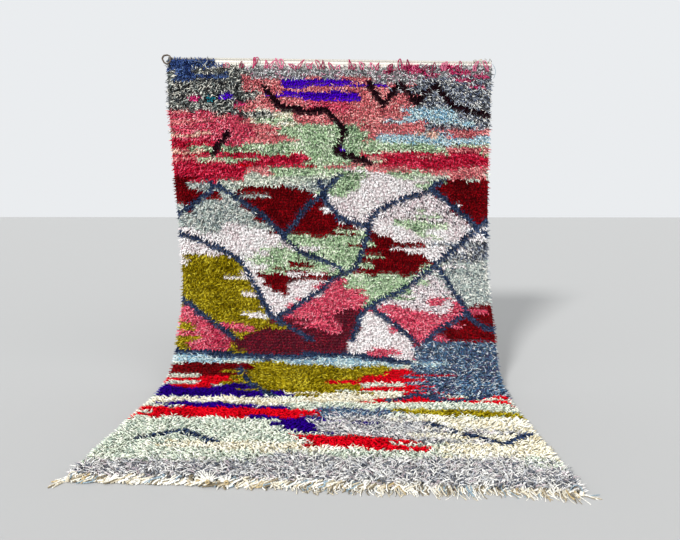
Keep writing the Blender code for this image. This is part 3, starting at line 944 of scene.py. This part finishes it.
def ground_material():
    """The back: rows of knots, each a pair of humps in its yarn's colour darkened by painted shade, with
    rows of brown weft between."""
    material, tree, shader = new_material("ground_weave")
    where = node(tree, "ShaderNodeUVMap", uv_map="yarn")
    apart = node(tree, "ShaderNodeSeparateXYZ", {0: where.outputs[0]})
    knot = node(tree, "ShaderNodeAttribute", attribute_name="knot")
    across = calc(tree, "COSINE", calc(tree, "MULTIPLY", apart.outputs["X"], math.tau * 2))
    down = calc(tree, "COSINE", calc(tree, "MULTIPLY", apart.outputs["Y"], math.tau))
    weft = node(
        tree,
        "ShaderNodeMapRange",
        {"Value": down, "From Min": -0.1, "From Max": 0.3},
        interpolation_type="SMOOTHSTEP",
    )
    in_pile = calc(tree, "GREATER_THAN", apart.outputs["Y"], 0.0)
    weft = calc(tree, "MULTIPLY", weft.outputs[0], in_pile)
    mix = node(
        tree,
        "ShaderNodeMix",
        {0: weft, 6: knot.outputs["Color"], 7: (*linear(WEFT_BROWN), 1.0)},
        data_type="RGBA",
    )
    hump = calc(tree, "SUBTRACT", across, down)
    place = node(tree, "ShaderNodeTexCoord")
    grain = node(
        tree,
        "ShaderNodeTexNoise",
        {"Vector": place.outputs["Object"], "Scale": GRAIN_SCALE, "Detail": 2.0},
    )
    height = calc(tree, "MULTIPLY_ADD", grain.outputs[0], GRAIN_DEPTH, hump)
    dent = node(tree, "ShaderNodeBump", {"Distance": KNOT_BUMP, "Strength": 0.8, "Height": height})
    tree.links.new(mix.outputs[2], shader.inputs["Base Color"])
    tree.links.new(dent.outputs[0], shader.inputs["Normal"])
    shader.inputs["Roughness"].default_value = 0.95
    shader.inputs["Specular IOR Level"].default_value = 0.15
    return material


def bed_material():
    """The pile's matted lower part, in the yarns' colours darkened by painted shade."""
    material, tree, _ = new_material("pile_bed")
    knot = node(tree, "ShaderNodeAttribute", attribute_name="knot")
    cloth_shader(material, knot.outputs["Color"], fibre_and_ply_shade=1.0, ply=8.0, bump=0.003, sheen=0.0)
    return material


# Loops in front of the hem, two by two: where they stand, how tall, wide, thick and crumpled they are,
# how far their feet are below the hem and above the back, how much nearer the back their tops are, and
# how far apart loops lie
LOOP_COUNT = 40
LOOP_FROM = -0.430
LOOP_TO = 0.622
LOOP_ASIDE = 0.009
LOOP_TALL = (0.018, 0.048)
LOOP_HALF = (0.004, 0.011)
LOOP_LEAN = 0.012
LOOP_RADIUS = 0.0021
LOOP_CRUMPLE = 0.0026
LOOP_FOOT = 0.010
FOOT_ABOVE = 0.022
TOP_LOWER = 0.012
LOOPS_APART = 0.004
RASPBERRY = ((100, 8, 44), (156, 38, 80), (196, 112, 138))


def hem_loops():
    """Loops of yarn from the first rows of knots up over the hem. For a turn from 0 to pi, x is the
    centre less the half width times the turn's cosine, wider where its sine is great, plus the lean times
    that sine and a crumple, and along is the foot less the height times the sine."""
    centre = np.repeat(np.linspace(LOOP_FROM, LOOP_TO, LOOP_COUNT // 2), 2)
    centre = centre + rng.normal(0.0, LOOP_ASIDE, LOOP_COUNT)
    tall = rng.uniform(*LOOP_TALL, LOOP_COUNT)
    turn = np.linspace(0.0, math.pi, 14)[None, :]
    wide = rng.uniform(*LOOP_HALF, LOOP_COUNT)[:, None]
    lean = rng.normal(0.0, LOOP_LEAN, LOOP_COUNT)[:, None]
    crumple = LOOP_CRUMPLE * np.sin(3.0 * turn + rng.uniform(0.0, math.tau, LOOP_COUNT)[:, None])
    x = centre[:, None] - wide * np.cos(turn) * (0.5 + 0.8 * np.sin(turn)) + lean * np.sin(turn) + crumple
    along = HEM + LOOP_FOOT - tall[:, None] * np.sin(turn)
    above = FOOT_ABOVE - TOP_LOWER * np.sin(turn) + rng.uniform(0.0, LOOPS_APART, LOOP_COUNT)[:, None]
    paths = np.stack([x, -along, above], -1)
    radii = np.full(x.shape, LOOP_RADIUS) * rng.uniform(*THICKNESSES, LOOP_COUNT)[:, None]
    points, faces, uvs, each = tubes(paths, radii, 6, OUT, lobes=2, depth=0.2, twist=0.6)
    piece = mesh_of("hem_loop_yarn", hang(points), faces, uvs, tone=np.repeat(rng.random(LOOP_COUNT), each))
    piece.data.materials.append(cord_material("raspberry_yarn", False, RASPBERRY))
    finish_piece(piece, "loop_yarn", "hem_loops")
    return piece


# Warp: its colours, one of them a grey-blue (132, 150, 160) that paints shadow on the strands that take it,
# and the tones that pick two of them
WARP_AND_SHADOW_COLOURS = (
    (216, 213, 203), (202, 194, 174), (228, 226, 218), (172, 160, 136), (210, 206, 192),
    (108, 98, 78), (222, 219, 210), (172, 152, 112), (206, 198, 178), (218, 215, 206),
    (132, 150, 160), (188, 178, 154), (226, 224, 216), (130, 118, 96),
)
WHITE = 2.5 / len(WARP_AND_SHADOW_COLOURS)
OCHRE = 7.5 / len(WARP_AND_SHADOW_COLOURS)
# How far in the fringe starts from the edges, how unevenly, how near the floor a strand comes, and how
# the strands' length and their way aside change along it
FRINGE_INSET = 0.016
FRINGE_UNEVEN = 0.004
FLOOR_GAP = 0.0003
LONGER = Ripple(0.35, 0.35, 52)
SWAY = Ripple(0.010, 0.12, 51)
# A batch of warp ends: between which shares of the width, how many, and how thick, from how far back to
# how far forward, how high at the root, how far aside and how unevenly they run, and the power of their
# droop
Warp = namedtuple("Warp", "start stop count radius back reach lift lean wander droop")
FRINGE = (
    Warp(0.00, 0.42, 80, (0.0021, 0.0037), -0.002, (0.011, 0.021), 0.010, -0.024, 0.012, 1.4),
    Warp(0.36, 0.66, 50, (0.0021, 0.0036), 0.004, (0.005, 0.012), 0.010, -0.020, 0.010, 1.2),
    Warp(0.00, 0.60, 84, (0.0020, 0.0034), 0.000, (0.005, 0.014), 0.020, -0.024, 0.013, 1.6),
    Warp(0.00, 0.70, 90, (0.0014, 0.0022), 0.004, (0.008, 0.020), 0.020, -0.022, 0.014, 1.4),
    Warp(0.30, 1.00, 120, (0.0018, 0.0030), 0.008, (0.010, 0.030), 0.010, 0.004, 0.006, 0.5),
    Warp(0.46, 1.00, 180, (0.0010, 0.0016), 0.010, (0.016, 0.042), 0.012, 0.002, 0.012, 0.5),
    Warp(0.50, 1.00, 70, (0.0022, 0.0032), 0.008, (0.003, 0.012), 0.012, -0.012, 0.006, 0.5),
)

# Strands made at once: their paths and radii, their tone where it is fixed, and an axis for tubes() that
# no path is parallel to
Strands = namedtuple("Strands", "paths radii tone across", defaults=(None, OUT))
# A strand's sides, and from how far before the rug's end strands stay above the floor
CORD_SIDES = 5
FRINGE_ZONE = 0.05


def cream_piece(name, batches, slot, *nodes):
    """One piece of cream warp from batches of strands, twisted in two plies and resting on the floor."""
    points, faces, uvs, tones = [], [], [], []
    used = 0
    for paths, radii, tone, across in batches:
        made, made_faces, made_uvs, each = tubes(
            paths, radii, CORD_SIDES, across, lobes=2, depth=0.2, twist=0.8
        )
        low = made[:, 1] < -RUG_LENGTH + FRINGE_ZONE
        made[low, 2] = np.maximum(made[low, 2], FLOOR_GAP)
        points.append(made)
        faces += [some + used for some in made_faces]
        uvs += made_uvs
        tones.append(np.repeat(rng.random(len(paths)) if tone is None else np.full(len(paths), tone), each))
        used += len(made)
    piece = mesh_of(name, hang(np.concatenate(points)), faces, uvs, tone=np.concatenate(tones))
    piece.data.materials.append(cord_material("cream_warp_" + name, True, WARP_AND_SHADOW_COLOURS))
    finish_piece(piece, slot, *nodes)
    return piece


# Tufts of warp that stand up in front of the pile: at what share of the width, and how tall
Tuft = namedtuple("Tuft", "share tall")
TUFTS = (
    Tuft(0.285, 0.034),
    Tuft(0.322, 0.024),
)
# Its strands, the fan they stand in and how uneven it is, in degrees, their shares of its height, how
# thick they are, how high above the back and how far past the rug's end they are rooted, and how far they
# spread from there. Then the binding: its ring's and its thread's radius, its height and how far past the
# end it is.
TUFT_STRANDS = 18
TUFT_FAN = (8.0, 172.0)
FAN_UNEVEN = 7.0
TUFT_SHARES = (0.6, 1.1)
TUFT_RADIUS = 0.0018
TUFT_ROOT = 0.012
TUFT_PAST = 0.010
TUFT_DEPTH = 0.008
BINDING_TURN = 0.0045
BINDING_RADIUS = 0.0024
BINDING_HIGH = 0.014
BINDING_PAST = 0.016


def standing_tuft(tuft):
    """Strands that rise from one knot: x and height by the cosine and sine of a fan of angles, and a ring
    of ochre."""
    left, right = (float(x) for x in edges_at(RUG_LENGTH))
    middle = left + (right - left) * tuft.share
    fan = np.linspace(*TUFT_FAN, TUFT_STRANDS) + rng.normal(0.0, FAN_UNEVEN, TUFT_STRANDS)
    fan = np.radians(fan)[:, None]
    t = np.linspace(0.0, 1.0, 6)[None, :]
    reach = tuft.tall * rng.uniform(*TUFT_SHARES, TUFT_STRANDS)[:, None] * t
    x = middle + reach * np.cos(fan)
    above = TUFT_ROOT + reach * np.sin(fan)
    along = RUG_LENGTH + TUFT_PAST + TUFT_DEPTH * t * rng.uniform(-1.0, 1.0, TUFT_STRANDS)[:, None]
    radii = np.full(x.shape, TUFT_RADIUS) * (1.1 - 0.4 * t)
    strands = Strands(np.stack([x, -along, above], -1), radii, WHITE, LENGTHWAYS)
    turn = np.linspace(0.0, math.tau, 12)[None, :]
    x = middle + BINDING_TURN * np.cos(turn)
    y = np.full(turn.shape, -RUG_LENGTH - BINDING_PAST)
    above = BINDING_HIGH + BINDING_TURN * np.sin(turn)
    radii = np.full(turn.shape, BINDING_RADIUS)
    return [strands, Strands(np.stack([x, y, above], -1), radii, OCHRE, LENGTHWAYS)]


def fringe_strands():
    """Warp ends on the floor, in batches: a plaited edge of thick cords, short ends, and long frayed
    ones. Each runs forward from the rug's end, drops from its lift and sways by a slow sine and one of
    its own."""
    left, right = (float(x) for x in edges_at(RUG_LENGTH))
    batches = []
    for warp in FRINGE:
        count = warp.count
        share = np.linspace(warp.start, warp.stop, count)
        start = left + FRINGE_INSET + (right - left - 2 * FRINGE_INSET) * share
        start = start + rng.normal(0.0, FRINGE_UNEVEN, count)
        t = np.linspace(0.0, 1.0, 8)[None, :]
        longer = (1.0 + waves(start, 0.0, LONGER))[:, None]
        reach = rng.uniform(*warp.reach, count)[:, None] * longer
        sway = warp.lean + waves(start, 0.0, SWAY)[:, None]
        sway = sway + warp.wander * rng.normal(0.0, 1.0, count)[:, None] * t
        curl = 0.4 * warp.wander * rng.normal(0.0, 1.0, count)[:, None] * np.sin(t * math.tau)
        x = start[:, None] + sway * t + curl
        along = RUG_LENGTH - warp.back + (reach + warp.back) * t
        radius = rng.uniform(*warp.radius, count)[:, None]
        above = radius * 1.1 + warp.lift * (1.0 - t ** warp.droop) * rng.uniform(0.5, 1.0, count)[:, None]
        batches.append(Strands(np.stack([x, -along, above], -1), radius * (1.0 - 0.25 * t)))
    for tuft in TUFTS:
        batches += standing_tuft(tuft)
    return cream_piece("fringe_strands", batches, "warp", "fringe_left", "fringe_right")


# Corner tassels, in degrees: where each points, its bunches to either side of that, and how far a bunch
# spreads, then how many strands it has and how thick they are
Tassel = namedtuple("Tassel", "name heading bunches spread strands radius")
TASSELS = (
    Tassel("left", 194.0, (-12.0, 34.0), 20.0, 16, 0.0027),
    Tassel("right", 346.0, (-18.0, 6.0, 22.0), 8.0, 7, 0.0014),
)
# How far in and down from the corner the neck is, how far strands reach past it, how many rings they have,
# how far they turn in radians, how far behind the neck they start, and how high and uneven they lie
KNOT_RADIUS = 0.009
TASSEL_REACH = (0.024, 0.046)
TASSEL_RINGS = 10
STRAND_TURNS = 0.25
TASSEL_BACK = 0.010
TASSEL_LOW = 0.0018
TASSEL_LIFT = 0.004
# The turns round a tassel's neck: where they are along it, their slant, half width, half height, middle
# height and thickness
NECK_TURNS = (-0.003, 0.0, 0.003)
NECK_SLANT = 0.0015
NECK_HALF_WIDE = 0.0052
NECK_HALF_HIGH = 0.0044
NECK_HIGH = 0.0062
NECK_RADIUS = 0.0024
# The arch of thread beside it: its middle, half span, foot, height and radius
ARCH_MIDDLE = 0.012
ARCH_HALF = 0.014
ARCH_FOOT = 0.007
ARCH_TALL = 0.020
ARCH_RADIUS = 0.0014


def corner_tassel(tassel):
    """Warp ends knotted at a corner: turns of cord round the neck, free ends that fan out on the floor,
    and an arch of thread."""
    left, right = (float(x) for x in edges_at(RUG_LENGTH))
    x = left + KNOT_RADIUS if tassel.name == "left" else right - KNOT_RADIUS
    centre = np.array([x, -(RUG_LENGTH + KNOT_RADIUS)])
    ahead = math.radians(tassel.heading)
    count = tassel.strands
    t = np.linspace(0.0, 1.0, TASSEL_RINGS)[None, :]
    bunch = np.array(tassel.bunches)[np.arange(count) % len(tassel.bunches)]
    fan = ahead + np.radians(bunch + rng.uniform(-0.5, 0.5, count) * tassel.spread)[:, None]
    turn = ahead + (fan - ahead) * np.clip(t * 2.0 - 0.3, 0.0, 1.0)
    turn = turn + rng.normal(0.0, STRAND_TURNS, count)[:, None] * t
    step = (rng.uniform(*TASSEL_REACH, count)[:, None] + TASSEL_BACK) / (TASSEL_RINGS - 1)
    x = centre[0] - TASSEL_BACK * math.cos(ahead) + np.cumsum(np.cos(turn) * step, axis=1)
    y = centre[1] - TASSEL_BACK * math.sin(ahead) + np.cumsum(np.sin(turn) * step, axis=1)
    above = TASSEL_LOW + TASSEL_LIFT * (1.0 - t) * rng.random(count)[:, None]
    ends = Strands(np.stack([x, y, above], -1), np.full(x.shape, tassel.radius) * (1.1 - 0.3 * t))
    round_it = np.linspace(0.0, math.tau, 15)[None, :]
    at = np.array(NECK_TURNS)[:, None] + NECK_SLANT * np.cos(round_it)
    aside = NECK_HALF_WIDE * np.cos(round_it)
    ring_x = centre[0] + at * math.cos(ahead) - aside * math.sin(ahead)
    ring_y = centre[1] + at * math.sin(ahead) + aside * math.cos(ahead)
    ring_z = NECK_HIGH + NECK_HALF_HIGH * np.sin(round_it) + np.zeros(at.shape)
    neck = (math.cos(ahead), math.sin(ahead), 0.0)
    knot = Strands(np.stack([ring_x, ring_y, ring_z], -1), np.full(ring_x.shape, NECK_RADIUS), None, neck)
    arch = np.linspace(0.0, math.pi, 12)[None, :]
    aside = (1.0 if tassel.name == "left" else -1.0) * (ARCH_MIDDLE - ARCH_HALF * np.cos(arch))
    arch_z = ARCH_FOOT + ARCH_TALL * np.sin(arch)
    thread = np.stack([centre[0] + aside, centre[1] + 0.3 * abs(aside), arch_z], -1)
    batches = [ends, knot, Strands(thread, np.full(arch.shape, ARCH_RADIUS), None, LENGTHWAYS)]
    return cream_piece(f"corner_ends_{tassel.name}", batches, "warp", f"corner_tassel_{tassel.name}")


# Loose threads: how many curls, from where to where they start, how tall they are, how far they swing and
# curl over, and how thick they and the hanging one are
STRAYS = 9
STRAY_STARTS = (-0.075, -0.004)
STRAY_TALL = (0.008, 0.018)
STRAY_SWINGS = (-0.018, 0.022)
STRAY_CURLS = (1.6, 2.9)
STRAY_RADIUS = 0.0009
HANGING_RADIUS = 0.0011
# The curls' wiggle, how far down the hem they start, how high above the back and how far they rise
WIGGLE = 0.004
STRAY_DOWN = 0.008
STRAY_ABOVE = 0.005
STRAY_RISE = 0.010
# The hanging thread: how far outside the edge it starts and swings, from where on the rug it hangs and how
# far down, how high above the back it is and how far it lifts
HANGING_ASIDE = 0.002
HANGING_SWING = 0.013
HANGING_FROM = 0.012
HANGING_LONG = 0.055
HANGING_ABOVE = 0.012
HANGING_LIFT = 0.004


def stray_threads():
    """Loose cream threads at the upper right corner: short curls over the hem, and one that hangs down
    outside. Both swing aside and rise by sines of the way along them."""
    right = float(edges_at(0.0)[1])
    t = np.linspace(0.0, 1.0, 12)[None, :]
    foot = rng.uniform(*STRAY_STARTS, STRAYS)[:, None]
    tall = rng.uniform(*STRAY_TALL, STRAYS)[:, None]
    swing = rng.uniform(*STRAY_SWINGS, STRAYS)[:, None]
    x = right + foot + swing * t + WIGGLE * np.sin(t * 5.0 + foot * 300.0)
    along = STRAY_DOWN - tall * np.sin(t * rng.uniform(*STRAY_CURLS, STRAYS)[:, None])
    above = STRAY_ABOVE + STRAY_RISE * t * rng.random(STRAYS)[:, None]
    curls = Strands(np.stack([x, -along, above], -1), np.full(x.shape, STRAY_RADIUS))
    x = right + HANGING_ASIDE + HANGING_SWING * np.sin(t * 2.6)
    along = HANGING_FROM + HANGING_LONG * t
    above = HANGING_ABOVE + HANGING_LIFT * np.sin(t * 4.0)
    fallen = Strands(np.stack([x, -along, above], -1), np.full(x.shape, HANGING_RADIUS))
    return cream_piece("stray_threads", [curls, fallen], "warp")


# The corner ring of two plies: its radius and unevenness, where its middle is from the corner, how high
# it lies and the plies apart, how thick a ply is, and its colours
CORNER_RING = 0.017
RING_UNEVEN = 0.0010
RING_ASIDE = 0.004
RING_DOWN = 0.010
RING_ABOVE = 0.0088
PLIES_APART = 0.0030
RING_PLY = 0.0030
DARK_CORD = ((44, 36, 30), (104, 94, 84))


def corner_ring():
    """The ring of twisted dark cord at the upper left corner: two plies, each once round at an uneven
    radius."""
    left = float(edges_at(0.0)[0])
    turn = np.linspace(0.0, math.tau, 40)[None, :] + np.array([[0.4], [0.9]])
    wide = CORNER_RING + RING_UNEVEN * np.sin(3 * turn)
    x = left - RING_ASIDE + wide * np.cos(turn)
    y = -RING_DOWN + wide * np.sin(turn)
    above = RING_ABOVE + np.array([[0.0], [PLIES_APART]]) + 0.0006 * np.sin(5 * turn)
    paths = np.stack([x, y, above], -1)
    radii = np.full(x.shape, RING_PLY)
    points, faces, uvs, each = tubes(paths, radii, 8, OUT, lobes=2, depth=0.22, twist=0.55)
    piece = mesh_of("corner_cord", hang(points), faces, uvs, tone=np.repeat([0.2, 0.8], each))
    piece.data.materials.append(cord_material("dark_cord", False, DARK_CORD))
    finish_piece(piece, "corner_cord", "corner_loop")
    return piece


# A light's height above the floor, its way round from straight in front and its width, in degrees, and
# its strength
Light = namedtuple("Light", "name high round_by wide strength")
LIGHTS = (
    Light("key", 30.0, -30.0, 10.0, 3.9),
    Light("fill", 26.0, 50.0, 60.0, 0.7),
)
FLOOR_WIDE = 40.0
FLOOR_COLOUR = (0.40, 0.40, 0.395, 1.0)
FLOOR_ROUGHNESS = 0.85
SURROUND = (0.86, 0.88, 0.90, 1.0)
SURROUND_STRENGTH = 0.96


def stage():
    """A pale floor, a key and a fill light from far off and an even pale surround."""
    bpy.ops.mesh.primitive_plane_add(size=FLOOR_WIDE, location=(0.0, 0.0, 0.0))
    floor = bpy.context.object
    floor.name = "floor"
    material, _, shader = new_material("floor")
    shader.inputs["Base Color"].default_value = FLOOR_COLOUR
    shader.inputs["Roughness"].default_value = FLOOR_ROUGHNESS
    floor.data.materials.append(material)
    world = bpy.data.worlds.new("surround")
    world.use_nodes = True
    world.node_tree.nodes["Background"].inputs[0].default_value = SURROUND
    world.node_tree.nodes["Background"].inputs[1].default_value = SURROUND_STRENGTH
    bpy.context.scene.world = world
    for name, high, round_by, wide, strength in LIGHTS:
        light = bpy.data.lights.new(name, "SUN")
        light.angle = math.radians(wide)
        light.energy = strength
        holder = bpy.data.objects.new(name, light)
        holder.rotation_euler = (math.radians(90.0 - high), 0.0, math.radians(round_by))
        bpy.context.scene.collection.objects.link(holder)


# The photograph's camera: how far it stands from the hanging stretch, how high, how far to the side, how
# far it looks down and to the left in degrees, and its focal length in pixels of a 680 pixel wide frame.
CAMERA_AWAY = 2.238
CAMERA_HIGH = 0.75
CAMERA_SIDE = 0.075
CAMERA_DOWN = 7.75
CAMERA_LEFT = 1.10
FOCAL_PIXELS = 522.0
FRAME_WIDE = 680.0
SENSOR_WIDE = 36.0


def camera():
    """The camera at the photograph's viewing angle."""
    data = bpy.data.cameras.new("camera")
    data.sensor_width = SENSOR_WIDE
    data.lens = data.sensor_width * FOCAL_PIXELS / FRAME_WIDE
    holder = bpy.data.objects.new("camera", data)
    holder.location = (CAMERA_SIDE, BACK_Y - CAMERA_AWAY, CAMERA_HIGH)
    holder.rotation_euler = (math.radians(90.0 - CAMERA_DOWN), 0.0, math.radians(CAMERA_LEFT))
    bpy.context.scene.collection.objects.link(holder)
    bpy.context.scene.camera = holder


camera()
wool_group()
chart = charted()
sheet = ground_weave(chart)
ends = knotted_pile(chart)
for piece in ends:
    finish_piece(piece, "pile")
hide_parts(*[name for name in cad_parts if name.startswith("locks_")])
loops = hem_loops()
fringe = fringe_strands()
tassels = [corner_tassel(tassel) for tassel in TASSELS]
ring = corner_ring()
strays = stray_threads()
stage()
bpy.context.scene.view_settings.view_transform = "Standard"
